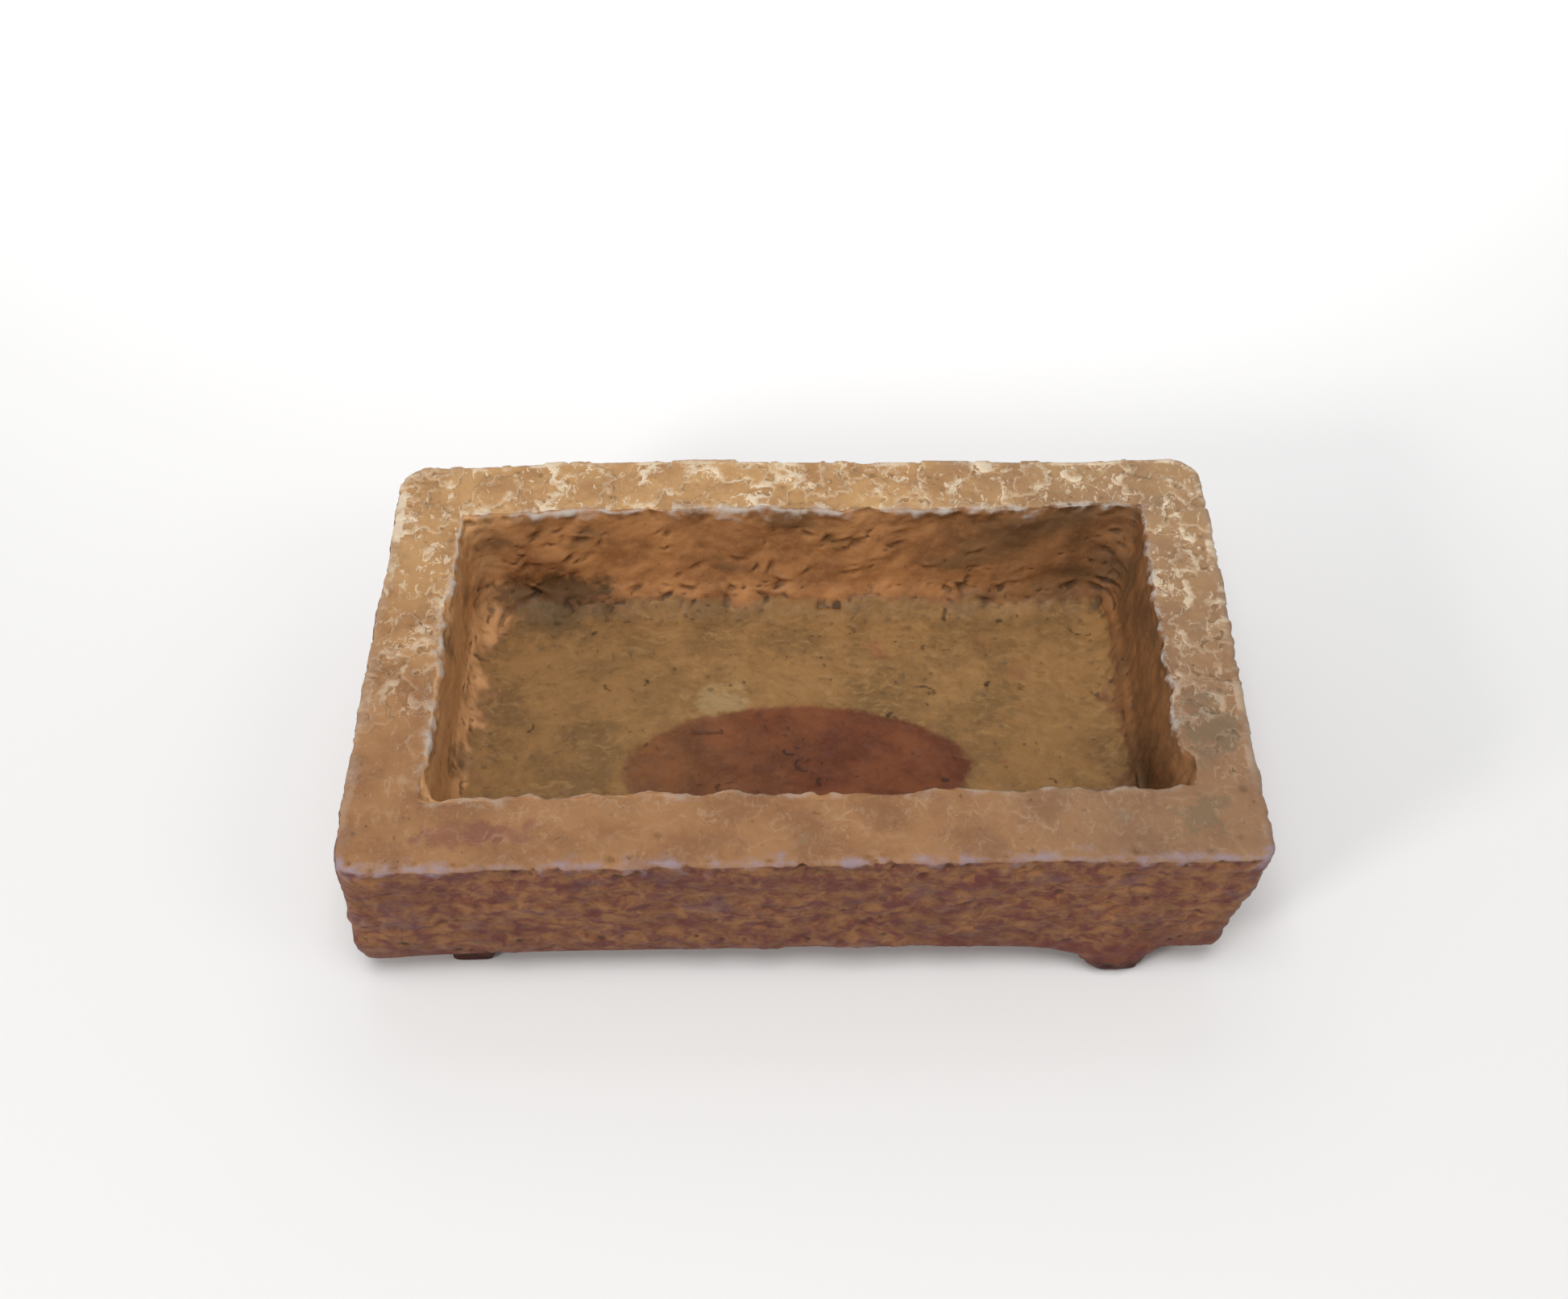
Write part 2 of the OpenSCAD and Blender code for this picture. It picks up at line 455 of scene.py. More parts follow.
def curl(place, radius, start, turn, width, depth):
    """Scratches a squashed arc: a hooked mark such as a crumb leaves under a wet thumb."""
    near, _ = around(place, 1.5 * (radius + width))
    if not len(near):
        return
    offset = points[near] - place
    lengthways = offset[:, 0] * rng.uniform(0.7, 1.0)
    crossways = (offset[:, 1] + offset[:, 2]) * rng.uniform(1.0, 1.7)
    along = (np.arctan2(crossways, lengthways) - start) % (2 * math.pi)
    off_line = np.abs(np.hypot(lengthways, crossways) - radius * (1 + 0.25 * along))
    height[near] -= depth * between(width, 0, off_line) * between(turn, turn - 0.9, along)


print("marks ready: pit, curl")

# %% [markdown]
# ## The outside
#
# Beating the slabs together leaves shallow dents, and coarse clay shows its sand. Noise of
# two sizes gives both, and small pits stand for grains that fell out. Real geometry is used
# and not only bump, because the pot's outline against the table is rough too.

# %% Roughen the outside
HAMMERED = 0.5
GRAIN = 0.10
SWELL_SIDES = 1.0
SWELL_BACK = 0.8
SWELL_FRONT = 0.2

hammered = field(points, 5.5, seed=2, stretch=(1.5, 1, 0.9), octaves=4)
grain = field(points, 1.3, seed=3, octaves=2)
# Clay bulges a little when the slabs are beaten together
nx, ny, nz = normals.T
swell = SWELL_SIDES * nx ** 2
swell += SWELL_BACK * np.maximum(ny, 0) ** 2
swell += SWELL_FRONT * np.maximum(-ny, 0) ** 2
height += (1 - in_well) * (1 - foot) * swell
height += outside * (HAMMERED * hammered + GRAIN * grain)
OUTSIDE_PITS = 420
for place in scatter(outside, OUTSIDE_PITS):
    pit(place, rng.uniform(0.5, 1.3), rng.uniform(0.1, 0.4))
print("outside roughened, with", OUTSIDE_PITS, "pits")

# %% [markdown]
# ## The rim
#
# The fire left a thin crust on the rim, and some of it has flaked away. A smooth noise cut
# off at one level gives islands of crust with ragged shores, at one even depth, as real
# flakes have. A few larger flakes are pushed into the noise where they belong.

# %% Break the crust on the rim
CRUST = 0.27
FLAKES = [(-53.5, -15.5, 4.5), (55.5, -15.5, 4.0), (-33.6, 33.0, 3.0), (19.0, 32.0, 3.5)]


def flake(centre_x, centre_y, radius):
    """A round push on the crust noise, which leaves one flake with a ragged edge."""
    away = ((points[:, 0] - centre_x) ** 2 + (points[:, 1] - centre_y) ** 2) / radius ** 2
    return 0.55 * np.exp(-0.7 * away)


crust_noise = field(points, 6.0, seed=4, octaves=4)
crust_noise += sum(flake(*where) for where in FLAKES) - 0.04
crust = between(-0.02, 0.08, crust_noise)
# The front of the rim was wiped smooth, so its crust is shallow
wiped = between(-10, -30, y)
flaking = CRUST * (1 - 0.75 * wiped)
height += rim * (flaking * (crust - 0.5) + 0.18 * field(points, 9.0, seed=5, octaves=2) + 0.06 * grain)
RIM_PITS = 190
for place in scatter(rim * (1 - 0.7 * wiped), RIM_PITS):
    pit(place, rng.uniform(0.3, 1.2), rng.uniform(0.06, 0.32))
print("crust covers", round(float((crust * rim).sum() / rim.sum()), 2), "of the rim")

# %% [markdown]
# ## The inside walls
#
# The walls of the well were scraped while the clay was half dry, and it tore: each stroke
# leaves a short scoop that ends in a small torn lip. One function makes a single scoop, and
# hundreds of them, with random sizes and nearly the same tilt, make the wall. Slow bulges
# under them keep the wall from looking flat.

# %% Make one scoop
def scoop(place, direction, across, length, width, depth):
    """One short scoop: it deepens slowly across, and ends in a torn lip."""
    near, away = around(place, 1.6 * length)
    if not len(near):
        return
    offset = points[near] - place
    along = offset @ direction / length
    over = offset @ across / width
    slope = between(-1.6, 0.2, over) * between(0.75, 0.2, over)
    lip = np.exp(-((over - 0.75) / 0.28) ** 2)
    height[near] += depth * np.exp(-1.5 * along ** 2) * (0.55 * lip - slope)


def scoop_wall(mask, how_many, tilt, sideways):
    """Scoops over one pair of walls, their long sides tilted by about this angle."""
    for place in scatter(mask, how_many):
        angle = math.radians(rng.normal(tilt, 32))
        direction = sideways * math.cos(angle) + np.array([0, 0, math.sin(angle)])
        across = -sideways * math.sin(angle) + np.array([0, 0, math.cos(angle)])
        length = 0.5 + 1.2 * rng.random() ** 2
        width = length * rng.uniform(0.5, 0.85)
        scoop(place, direction, across, length, width, rng.uniform(0.08, 0.2) * (1 + length))


print("scoop ready")

# %% Tear the inside walls
LENGTHWAYS = np.array([1.0, 0, 0])
CROSSWAYS = np.array([0, 1.0, 0])
LONG_WALL_SCOOPS = 480
SEAM_SCOOPS = 70
SIDE_WALL_SCOOPS = 40

on_long_wall = inside_wall * between(5.0, 2.5, np.minimum(from_front, from_back))
on_side_wall = inside_wall * (1 - on_long_wall)
drag_lines = field(points, 1.5, seed=10, stretch=(1, 1, 8), octaves=2)
bulges = field(points, 9.0, seed=9, octaves=3)
height += on_long_wall * (0.7 * bulges + 0.08 * grain)
height += on_side_wall * (0.20 * bulges + 0.22 * drag_lines + 0.05 * grain)
below_mouth = between(rim_z - 2.0, rim_z - 4.5, z)
torn = below_mouth * on_long_wall * between(-0.3, 0.3, bulges)
scoop_wall(torn, LONG_WALL_SCOOPS, 28, LENGTHWAYS)
seam = inside_wall * between(2.5, 0.5, np.abs(z - floor_z - 2.5))
scoop_wall(seam, SEAM_SCOOPS, 0, LENGTHWAYS)
scoop_wall(below_mouth * on_side_wall, SIDE_WALL_SCOOPS, 80, CROSSWAYS)
print(LONG_WALL_SCOOPS + SEAM_SCOOPS + SIDE_WALL_SCOOPS, "scoops")

# %% [markdown]
# ## The floor
#
# The floor was smoothed with a wet thumb, which left faint swirled ridges and small hooked
# marks where crumbs rolled. The ridges are noise that other noise has swept sideways. The
# marks that stand out most are listed by place, and the rest are random.

# %% Thumb the floor
FLOOR_CURLS = 75
FLOOR_PITS = 26
swept = points + 2.2 * vector_field(points, 8.0, seed=11)
ridges = 1 - np.abs(field(swept, 3.0, seed=12, octaves=3)) * 4
dips = field(points, 10.0, seed=13)
height += on_floor * (0.09 * np.clip(ridges, -1, 1) + 0.25 * dips + 0.03 * grain)
for place in scatter(on_floor, FLOOR_CURLS):
    radius = rng.uniform(0.4, 1.4)
    start = rng.uniform(0, 6.3)
    turn = rng.uniform(0.8, 2.4)
    curl(place, radius, start, turn, 0.4, rng.uniform(0.08, 0.26))
print(FLOOR_CURLS, "small curls")

# %% Scratch the larger marks
FLOOR_MARKS = [(14.3, 2.1, 1.2), (32.3, 7.3, 0.6), (28.4, 7.9, 0.5), (18.1, 6.2, 1.4), (7.0, 18.6, 1.1),
               (-10.6, -10.6, 1.6), (1.6, -6.4, 1.5), (-1.5, -4.0, 1.1), (4.0, -9.5, 1.3), (19.9, -10.3, 0.9)]
for mark_x, mark_y, radius in FLOOR_MARKS:  # millimetres from the middle of the pot
    mark_place = np.array([mark_x, mark_y, floor_z])
    curl(mark_place, radius, rng.uniform(0, 6.3), rng.uniform(1.3, 3.2), 0.45, 0.42)
    curl(mark_place, 0.5 * radius, rng.uniform(0, 6.3), rng.uniform(1.0, 2.0), 0.4, 0.35)
for place in scatter(on_floor, FLOOR_PITS):
    pit(place, rng.uniform(0.3, 0.8), rng.uniform(0.1, 0.4))
print(len(FLOOR_MARKS), "larger marks and", FLOOR_PITS, "pits")

# %% [markdown]
# ## The front edge
#
# The front edge has been knocked most often. Deep little pits along one narrow band are
# enough to break its line.

# %% Chip the front edge
EDGE_CHIPS = 55
at_front_edge = between(-rim_y + 2.2, -rim_y + 1.0, y) * between(rim_z - 3.5, rim_z - 1.5, z)
for place in scatter(at_front_edge, EDGE_CHIPS):
    pit(place, rng.uniform(0.5, 1.2), rng.uniform(0.2, 0.5))
print(EDGE_CHIPS, "chips on the front edge")

# %% [markdown]
# ## All heights at once
#
# The list of heights is complete, so the skin moves. The pads under the feet stay flat,
# because the pot stands on them. The mouth gets one more push, from side to side and not
# along the normals: a wire or a knife cut it, and its edge wanders.

# %% Move the skin
height *= 1 - foot * between(1.0, 0.3, z)
height = np.where(z < 0.3, 0, height)
shaped = points + normals * height[:, None]

print("relief from", round(float(height.min()), 2), "to", round(float(height.max()), 2), "mm")

# %% Fray the mouth
RAGGED = 0.7

ragged = field(points, 4.5, seed=14, octaves=4)
at_mouth = between(3.2, 0.2, np.abs(into_well)) * between(rim_z - 4.0, rim_z - 0.5, z)
nearer_side = np.minimum(from_left, from_right) < np.minimum(from_front, from_back)
outwards = np.zeros((count, 3))
outwards[:, 0] = -np.sign(from_right - from_left) * nearer_side
outwards[:, 1] = -np.sign(from_back - from_front) * ~nearer_side
outwards = smoothed(outwards, 6)
shaped += outwards * (RAGGED * ragged * at_mouth)[:, None]
write_points(shaped)
print("mouth frayed by up to", round(float(np.abs(RAGGED * ragged * at_mouth).max()), 2), "mm")

# %% [markdown]
# ## What the fire will see
#
# Hollows hold soil and are painted darker as shade, and handling rubs high edges pale.
# Comparing the rough skin with a smoothed copy tells one from the other, at two scales.

# %% Measure hollows and high spots
normals = read_normals()


def standing_out(steps):
    """How far each point stands out from a smoothed copy of the skin, in millimetres."""
    return ((shaped - smoothed(shaped, steps)) * normals).sum(axis=1)


fine = standing_out(steps_for(0.6))
broad = standing_out(steps_for(1.9))
print("fine relief, mm:", np.percentile(fine, [1, 50, 99]).round(2),
      "broad:", np.percentile(broad, [1, 50, 99]).round(2))

# %% Give the clay its traits
# Hands rub the mouth and the front edge the most
mouth_edge = between(2.2, 0.8, np.abs(into_well)) * between(rim_z - 3.0, rim_z - 1.5, z)
front_edge = between(-rim_y + 2.8, -rim_y + 1.4, y) * between(rim_z - 3.5, rim_z - 1.8, z)
rubbed_mouth = mouth_edge * (0.6 + 0.4 * between(-22, -15, y))
rubbed = np.maximum(0.2, np.maximum(rubbed_mouth, 0.9 * front_edge))
traits = {
    "rubbed": rubbed,
    "rim": rim,
    "inside_wall": inside_wall,
    "floor": on_floor,
    "under": under,
    "crust": crust,
    "fine": fine,
    "broad": broad,
}
for name, values in traits.items():
    clay.attributes.new(name, "FLOAT", "POINT").data.foreach_set("value", values.astype(np.float32))
clay.attributes.new("known", "FLOAT", "POINT").data.foreach_set("value", np.ones(count, dtype=np.float32))
clay.attributes.new("lump_normal", "FLOAT_VECTOR", "POINT").data.foreach_set(
    "vector", normals.astype(np.float32).ravel())
print("traits:", ", ".join(traits))

# %% [markdown]
# ## Back into pieces
#
# The lump is cut where the frame's pieces meet. Each cutter is a simple solid that holds
# one piece's share of the room. A piece is what a cutter and the lump have in common, and
# the rest of the lump goes on to the next cutter, so nothing is lost and nothing overlaps.

# %% Make simple solids
def solid(corners):
    """A convex solid with these corners."""
    shape = bmesh.new()
    for corner in corners:
        shape.verts.new(corner)
    bmesh.ops.convex_hull(shape, input=shape.verts)
    bmesh.ops.recalc_face_normals(shape, faces=shape.faces)
    mesh = bpy.data.meshes.new("cutter")
    shape.to_mesh(mesh)
    shape.free()
    return new_piece("cutter", mesh)


def block(low, high):
    """An upright box."""
    return solid([(px, py, pz) for px in (low[0], high[0]) for py in (low[1], high[1])
                  for pz in (low[2], high[2])])


print("solids ready: solid, block")

# %% Make bars along the inside faces
FAR = 30.0          # past everything on the pot
COIL_REACH = 3.4    # how far a coil reaches into the well, and up the wall
BEDDING = 1.0       # how far a coil reaches into the clay
SKIN = 2.5          # how far a wall's cutter reaches into the well, to take in its rough skin
coil_top = floor_z + COIL_REACH
corner_coil_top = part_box("corner_coil_back_left")[1][2] / MM

INWARD = {"left": 1, "right": -1, "front": 1, "back": -1}


def line_at(side, height, inwards):
    """A line beside an inside face: its X or its Y at a height, moved into the well."""
    return inside_face(side, height) + INWARD[side] * inwards


def beside(side, ends, reach, low, high):
    """A bar along the foot or the top of one inside face.

    ends are the two faces that it stops at, and reach is how far it goes into the clay
    and into the well. Its ends are mitred, so that bars meet on a line from each corner.
    """
    corners = []
    for level in (low, high):
        for inwards in reach:
            for end in ends:
                across = line_at(side, level, inwards)
                along = line_at(end, level, inwards)
                if side in ("left", "right"):
                    corners.append((across, along, level))
                else:
                    corners.append((along, across, level))
    return solid(corners)


print("coils from", floor_z, "to", coil_top, "and up the corners to", corner_coil_top)

# %% Combine two solids
def boolean(mesh_piece, cutter, operation):
    """The mesh that two closed solids make together."""
    cut = mesh_piece.modifiers.new("cut", "BOOLEAN")
    cut.operation = operation
    cut.solver = "MANIFOLD"
    cut.object = cutter
    mesh = evaluated_mesh(mesh_piece)
    mesh_piece.modifiers.remove(cut)
    return mesh


def joined(first, second):
    """Two overlapping cutters made into one."""
    piece = new_piece("cutter", boolean(first, second, "UNION"))
    bpy.data.objects.remove(first)
    bpy.data.objects.remove(second)
    return piece


print("boolean ready")

# %% Cutters for the feet and the coils
foot_names = ["foot_front_left", "foot_front_right", "foot_back_left", "foot_back_right"]
FOOT_MARGIN = 2.5
FOOT_CUT = base_z - 0.8
COIL_ENDS = {
    "front": ("left", "right"),
    "back": ("left", "right"),
    "left": ("front", "back"),
    "right": ("front", "back"),
}

cutters = {}
for name in foot_names:
    low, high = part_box(name)
    cutters[name] = block((low[0] / MM - FOOT_MARGIN, low[1] / MM - FOOT_MARGIN, -FAR),
                          (high[0] / MM + FOOT_MARGIN, high[1] / MM + FOOT_MARGIN, FOOT_CUT))
for side, ends in COIL_ENDS.items():
    reach = (-BEDDING, COIL_REACH)
    cutters["floor_coil_" + side] = beside(side, ends, reach, floor_z - BEDDING, coil_top)
for side in ("front", "back"):
    for end in ("left", "right"):
        corners = []
        for level in (coil_top, corner_coil_top):
            for across in (-BEDDING, COIL_REACH):
                for along in (-BEDDING, COIL_REACH):
                    corners.append((line_at(end, level, along), line_at(side, level, across), level))
        cutters[f"corner_coil_{side}_{end}"] = solid(corners)
print(len(cutters), "cutters for feet and coils")

# %% Cutters for the walls
sky = rim_z + FAR


def slice_behind(side, inwards, outer):
    """A wall's share of the room, seen along the wall: four corners, each across and up."""
    return [(line_at(side, floor_z, inwards), floor_z), (line_at(side, sky, inwards), sky),
            (outer, floor_z), (outer, sky)]


for side, outer in (("front", -rim_y - FAR), ("back", rim_y + FAR)):
    behind = [(px, py, pz) for px in (-rim_x - FAR, rim_x + FAR)
              for py, pz in slice_behind(side, 0, outer)]
    skin = beside(side, ("left", "right"), (-BEDDING, SKIN), floor_z, sky)
    cutters[side + "_wall"] = joined(solid(behind), skin)
for side, outer in (("left", -rim_x - FAR), ("right", rim_x + FAR)):
    behind = [(px, py, pz) for py in (-rim_y - FAR, rim_y + FAR)
              for px, pz in slice_behind(side, SKIN, outer)]
    cutters[side + "_wall"] = solid(behind)
print(len(cutters), "cutters in all")

# %% Turn the clay into triangles
# A four-sided face that isn't flat is cut differently from its two sides, which leaves a
# hairline crack. A triangle is always flat.
facets = bmesh.new()
facets.from_mesh(clay)
bmesh.ops.triangulate(facets, faces=facets.faces)
facets.to_mesh(clay)
facets.free()
print(len(clay.polygons), "triangles")

# %% Cut the clay
def shared(first, second):
    """What two solids have in common."""
    return new_piece("clay", boolean(first, second, "INTERSECT"))


small = {name: cutter for name, cutter in cutters.items() if not name.endswith("_wall")}
trim_cutter = new_piece("trim_cutter", list(small.values())[0].data)
for cutter in list(small.values())[1:]:
    trim_cutter.data = boolean(trim_cutter, cutter, "UNION")

lump = new_piece("lump", clay)
trim = shared(lump, trim_cutter)
lump.data = boolean(lump, trim_cutter, "DIFFERENCE")
pieces = {}
for name, cutter in cutters.items():
    if name in small:
        pieces[name] = shared(trim, cutter)
    else:
        pieces[name] = shared(lump, cutter)
        lump.data = boolean(lump, cutter, "DIFFERENCE")
    bpy.data.objects.remove(cutter)
pieces["floor_slab"] = lump
for waste in (trim, trim_cutter):
    bpy.data.objects.remove(waste)
for name, piece in pieces.items():
    piece.name = "clay_" + name
    print(piece.name, len(piece.data.polygons), "faces")

# %% [markdown]
# ## Hide the cuts
#
# A cut makes new points that know nothing of the lump's traits, and shades its edge as if
# the clay ended there. So every new point copies its traits from the nearest old one, and
# every piece takes its shading from the whole lump. The joins then can't be seen, as on the
# fired pot.

# %% Look up the lump
finder = kdtree.KDTree(count)
for index, point in enumerate(shaped.tolist()):
    finder.insert(point, index)
finder.balance()
trait_values = {name: values.astype(np.float32) for name, values in traits.items()}


def read(data, key, width, kind=np.float32):
    """One property of every point, face or corner, as an array."""
    flat = np.empty(len(data) * width, dtype=kind)
    data.foreach_get(key, flat)
    return flat.reshape(-1, width) if width > 1 else flat


print("traits to carry over:", len(trait_values))

# %% Carry traits and shading over the cuts
def mend(mesh):
    """Gives a piece's new points the traits and the shading of the lump."""
    places = read(mesh.vertices, "co", 3)
    new = np.flatnonzero(read(mesh.attributes["known"].data, "value", 1) < 0.5)
    source = np.array([finder.find(p)[1] for p in places[new].tolist()], dtype=int)
    for name, values in trait_values.items():
        data = mesh.attributes[name].data
        own = read(data, "value", 1)
        own[new] = values[source]
        data.foreach_set("value", own)
    shading = read(mesh.attributes["lump_normal"].data, "vector", 3)
    shading[new] = normals[source]
    corner_point = read(mesh.loops, "vertex_index", 1, np.int32)
    corner_normals = shading[corner_point]
    sizes = read(mesh.polygons, "loop_total", 1, np.int32)
    cut_face = ~read(mesh.polygons, "use_smooth", 1, bool)
    face_normals = read(mesh.polygons, "normal", 3)
    of_cut = np.repeat(cut_face, sizes)
    corner_normals[of_cut] = np.repeat(face_normals, sizes, axis=0)[of_cut]
    mesh.normals_split_custom_set(corner_normals.tolist())
    mesh.attributes.remove(mesh.attributes["lump_normal"])
    mesh.attributes.remove(mesh.attributes["known"])
    return len(new), int(cut_face.sum())


for name, piece in pieces.items():
    new_points, cut_faces = mend(piece.data)
    print(piece.name, new_points, "new points,", cut_faces, "cut faces")

# %% [markdown]
# ## Words for nodes
#
# The materials are long, so a few helpers keep them readable. Each adds nodes to a tree and
# returns the output to use next. `clouds` is smooth noise whose patches have a size in
# millimetres, and `step` turns a smooth value into a mask.

# %% Name the helpers for nodes
def srgb(red, green, blue):
    """A screen colour, 0 to 255, as the linear colour that a shader works in."""
    return (*[((c / 255 + 0.055) / 1.055) ** 2.4 for c in (red, green, blue)], 1)


def wire(tree, socket, value):
    """Feeds a socket from an output, or sets it to a plain value."""
    if isinstance(value, bpy.types.NodeSocket):
        tree.links.new(value, socket)
    else:
        socket.default_value = value


def add(tree, kind, settings=None, inputs=None):
    """A new node with its settings and inputs filled in."""
    node = tree.nodes.new(kind)
    for key, value in (settings or {}).items():
        setattr(node, key, value)
    for key, value in (inputs or {}).items():
        wire(tree, node.inputs[key], value)
    return node


def trait(tree, name):
    """A trait that the clay carries on its points."""
    return add(tree, "ShaderNodeAttribute", {"attribute_name": name}).outputs["Fac"]


def position(tree, centre=(0, 0, 0), reach=(1, 1, 1)):
    """Where on the pot we are, in millimetres from a centre, divided by a reach."""
    here = add(tree, "ShaderNodeTexCoord").outputs["Object"]
    scale = [1 / (MM * r) for r in reach]
    shift = [-c / r for c, r in zip(centre, reach)]
    inputs = {"Vector": here, "Scale": scale, "Location": shift}
    return add(tree, "ShaderNodeMapping", {}, inputs).outputs[0]


def coordinate(tree, axis):
    """How far along X, Y or Z we are, in millimetres."""
    node = add(tree, "ShaderNodeSeparateXYZ", {}, {0: position(tree)})
    return node.outputs["XYZ".index(axis)]


def distance(tree, centre, reach):
    """How far from a centre we are: 1 on the edge of an oval with this reach."""
    node = add(tree, "ShaderNodeVectorMath", {"operation": "LENGTH"}, {0: position(tree, centre, reach)})
    return node.outputs["Value"]


print("helpers for places ready")

# %% Name the helpers for masks and colours


def clouds(tree, size, seed=0, stretch=(1, 1, 1), detail=3.0, twist=0.0):
    """Smooth noise, 0 to 1, whose patches are about `size` millimetres across."""
    here = position(tree, (seed * 31.7, seed * 17.3, seed * 5.9), stretch)
    inputs = {"Vector": here, "Scale": 1 / size, "Detail": detail, "Roughness": 0.6, "Distortion": twist}
    return add(tree, "ShaderNodeTexNoise", {}, inputs).outputs["Fac"]


def step(tree, value, low, high):
    """0 below low and 1 above high, or the other way round if high is the smaller."""
    inputs = {"Value": value, "From Min": low, "From Max": high}
    return add(tree, "ShaderNodeMapRange", {"interpolation_type": "SMOOTHSTEP"}, inputs).outputs[0]


def calc(tree, operation, first, second):
    """A sum with two values."""
    node = add(tree, "ShaderNodeMath", {"operation": operation}, {0: first, 1: second})
    return node.outputs[0]


def plus(tree, first, second):
    """One value added to another."""
    return calc(tree, "ADD", first, second)


def minus(tree, first, second):
    """One value taken from another."""
    return calc(tree, "SUBTRACT", first, second)


def times(tree, first, second):
    """One value times another."""
    return calc(tree, "MULTIPLY", first, second)


def blend(tree, factor, first, second, mode="MIX"):
    """Mixes a second colour over a first one."""
    settings = {"data_type": "RGBA", "blend_type": mode}
    return add(tree, "ShaderNodeMix", settings, {0: factor, 6: first, 7: second}).outputs[2]


print("helpers for masks and colours ready")

# %% Name the helpers for groups


def new_group(name, inputs, outputs):
    """An empty shader group: its tree, the sockets that enter it and those that leave it."""
    kinds = {"colour": "NodeSocketColor", "value": "NodeSocketFloat", "vector": "NodeSocketVector"}
    tree = bpy.data.node_groups.new(name, "ShaderNodeTree")
    for label, kind in inputs:
        tree.interface.new_socket(label, in_out="INPUT", socket_type=kinds[kind])
    for label, kind in outputs:
        tree.interface.new_socket(label, in_out="OUTPUT", socket_type=kinds[kind])
    return tree, add(tree, "NodeGroupInput").outputs, add(tree, "NodeGroupOutput").inputs


def use(tree, group, inputs=None):
    """Puts a group into a tree and returns its outputs."""
    return add(tree, "ShaderNodeGroup", {"node_tree": group}, inputs).outputs


print("helpers for groups ready")

# %% [markdown]
# ## What coarse clay has in common
#
# Every part of the pot is the same clay: two tones in cloudy patches, sandy grain, and dark
# specks of iron and grog. `two_tone` makes that from any two colours. Like each effect below,
# it is a group of nodes: built once, and placed in every material that needs it.

# %% Two tones of one clay
SPECK = srgb(58, 46, 38)

two_tone, incoming, leaving = new_group(
    "two_tone", [("Light", "colour"), ("Dark", "colour")], [("Colour", "colour")])
tree = two_tone
patches = step(tree, clouds(tree, 7.0, seed=1, detail=5.0), 0.34, 0.64)
colour = blend(tree, patches, incoming["Dark"], incoming["Light"])
sand = step(tree, clouds(tree, 0.8, seed=2), 0.50, 0.72)
colour = blend(tree, times(tree, sand, 0.5), colour, incoming["Light"])
specks = step(tree, clouds(tree, 1.1, seed=3, detail=2.0), 0.67, 0.75)
colour = blend(tree, times(tree, specks, 0.35), colour, SPECK)
wire(tree, leaving["Colour"], colour)
print(tree.name, "has", len(tree.nodes), "nodes")

# %% [markdown]
# ## Broken crust
#
# Where the crust of the rim has flaked, the broken edges show pale clay. They run in short,
# crooked, hooked lines. The `crust` trait is the one that shaped the relief, so the lines
# lie on the steps; it is halfway between 0 and 1 only on a flake's edge. Fine cracks, small
# flecks and raised grains are added from noise and from the relief.

# %% Crust lines
crust_lines, incoming, leaving = new_group(
    "crust_lines",
    [("Colour", "colour"), ("Line", "colour"), ("Amount", "value")],
    [("Colour", "colour")])
tree = crust_lines
broken = step(tree, clouds(tree, 4.6, seed=5, detail=5.0), 0.48, 0.64)

crust_here = trait(tree, "crust")
flake_edge = times(tree, times(tree, crust_here, 4.0), minus(tree, 1.0, crust_here))
flake_edge = times(tree, flake_edge, plus(tree, 0.3, times(tree, broken, 0.7)))

crooked = clouds(tree, 3.6, seed=4, detail=4.0, twist=0.7)
crack = step(tree, calc(tree, "ABSOLUTE", minus(tree, crooked, 0.5), 0.0), 0.020, 0.002)
crack = times(tree, crack, broken)

raised = step(tree, trait(tree, "fine"), 0.01, 0.07)
raised = times(tree, raised, times(tree, broken, 0.8))

flecks = step(tree, clouds(tree, 1.5, seed=28, stretch=(0.7, 1.5, 1), detail=3.0, twist=0.6), 0.60, 0.68)
flecks = times(tree, flecks, 0.65)

lines = calc(tree, "MAXIMUM", crack, flake_edge)
lines = calc(tree, "MAXIMUM", lines, raised)
lines = calc(tree, "MAXIMUM", lines, flecks)
lines = times(tree, lines, incoming["Amount"])
wire(tree, leaving["Colour"], blend(tree, lines, incoming["Colour"], incoming["Line"]))
print(tree.name, "has", len(tree.nodes), "nodes")

# %% [markdown]
# ## Worn edges
#
# A high edge is rubbed pale by hands and by the shelf. `broad` says how far the clay stands
# out, `rubbed` how often that place is touched, and a little noise breaks the band up. It
# could be found from the mesh's own curvature, but a measured trait gives the same wear
# on a coarse mesh and on a fine one.

# %% Edge wear
edge_wear, incoming, leaving = new_group(
    "edge_wear",
    [("Colour", "colour"), ("Worn", "colour"), ("Start", "value"), ("End", "value"), ("Amount", "value")],
    [("Colour", "colour")])
tree = edge_wear
noisy = times(tree, minus(tree, clouds(tree, 2.2, seed=6, stretch=(1.5, 1, 1), detail=6.0), 0.5), 2.4)
exposed = plus(tree, trait(tree, "broad"), noisy)
band = step(tree, exposed, incoming["Start"], incoming["End"])
worn = times(tree, times(tree, band, trait(tree, "rubbed")), incoming["Amount"])
wire(tree, leaving["Colour"], blend(tree, worn, incoming["Colour"], incoming["Worn"]))
print(tree.name, "has", len(tree.nodes), "nodes")
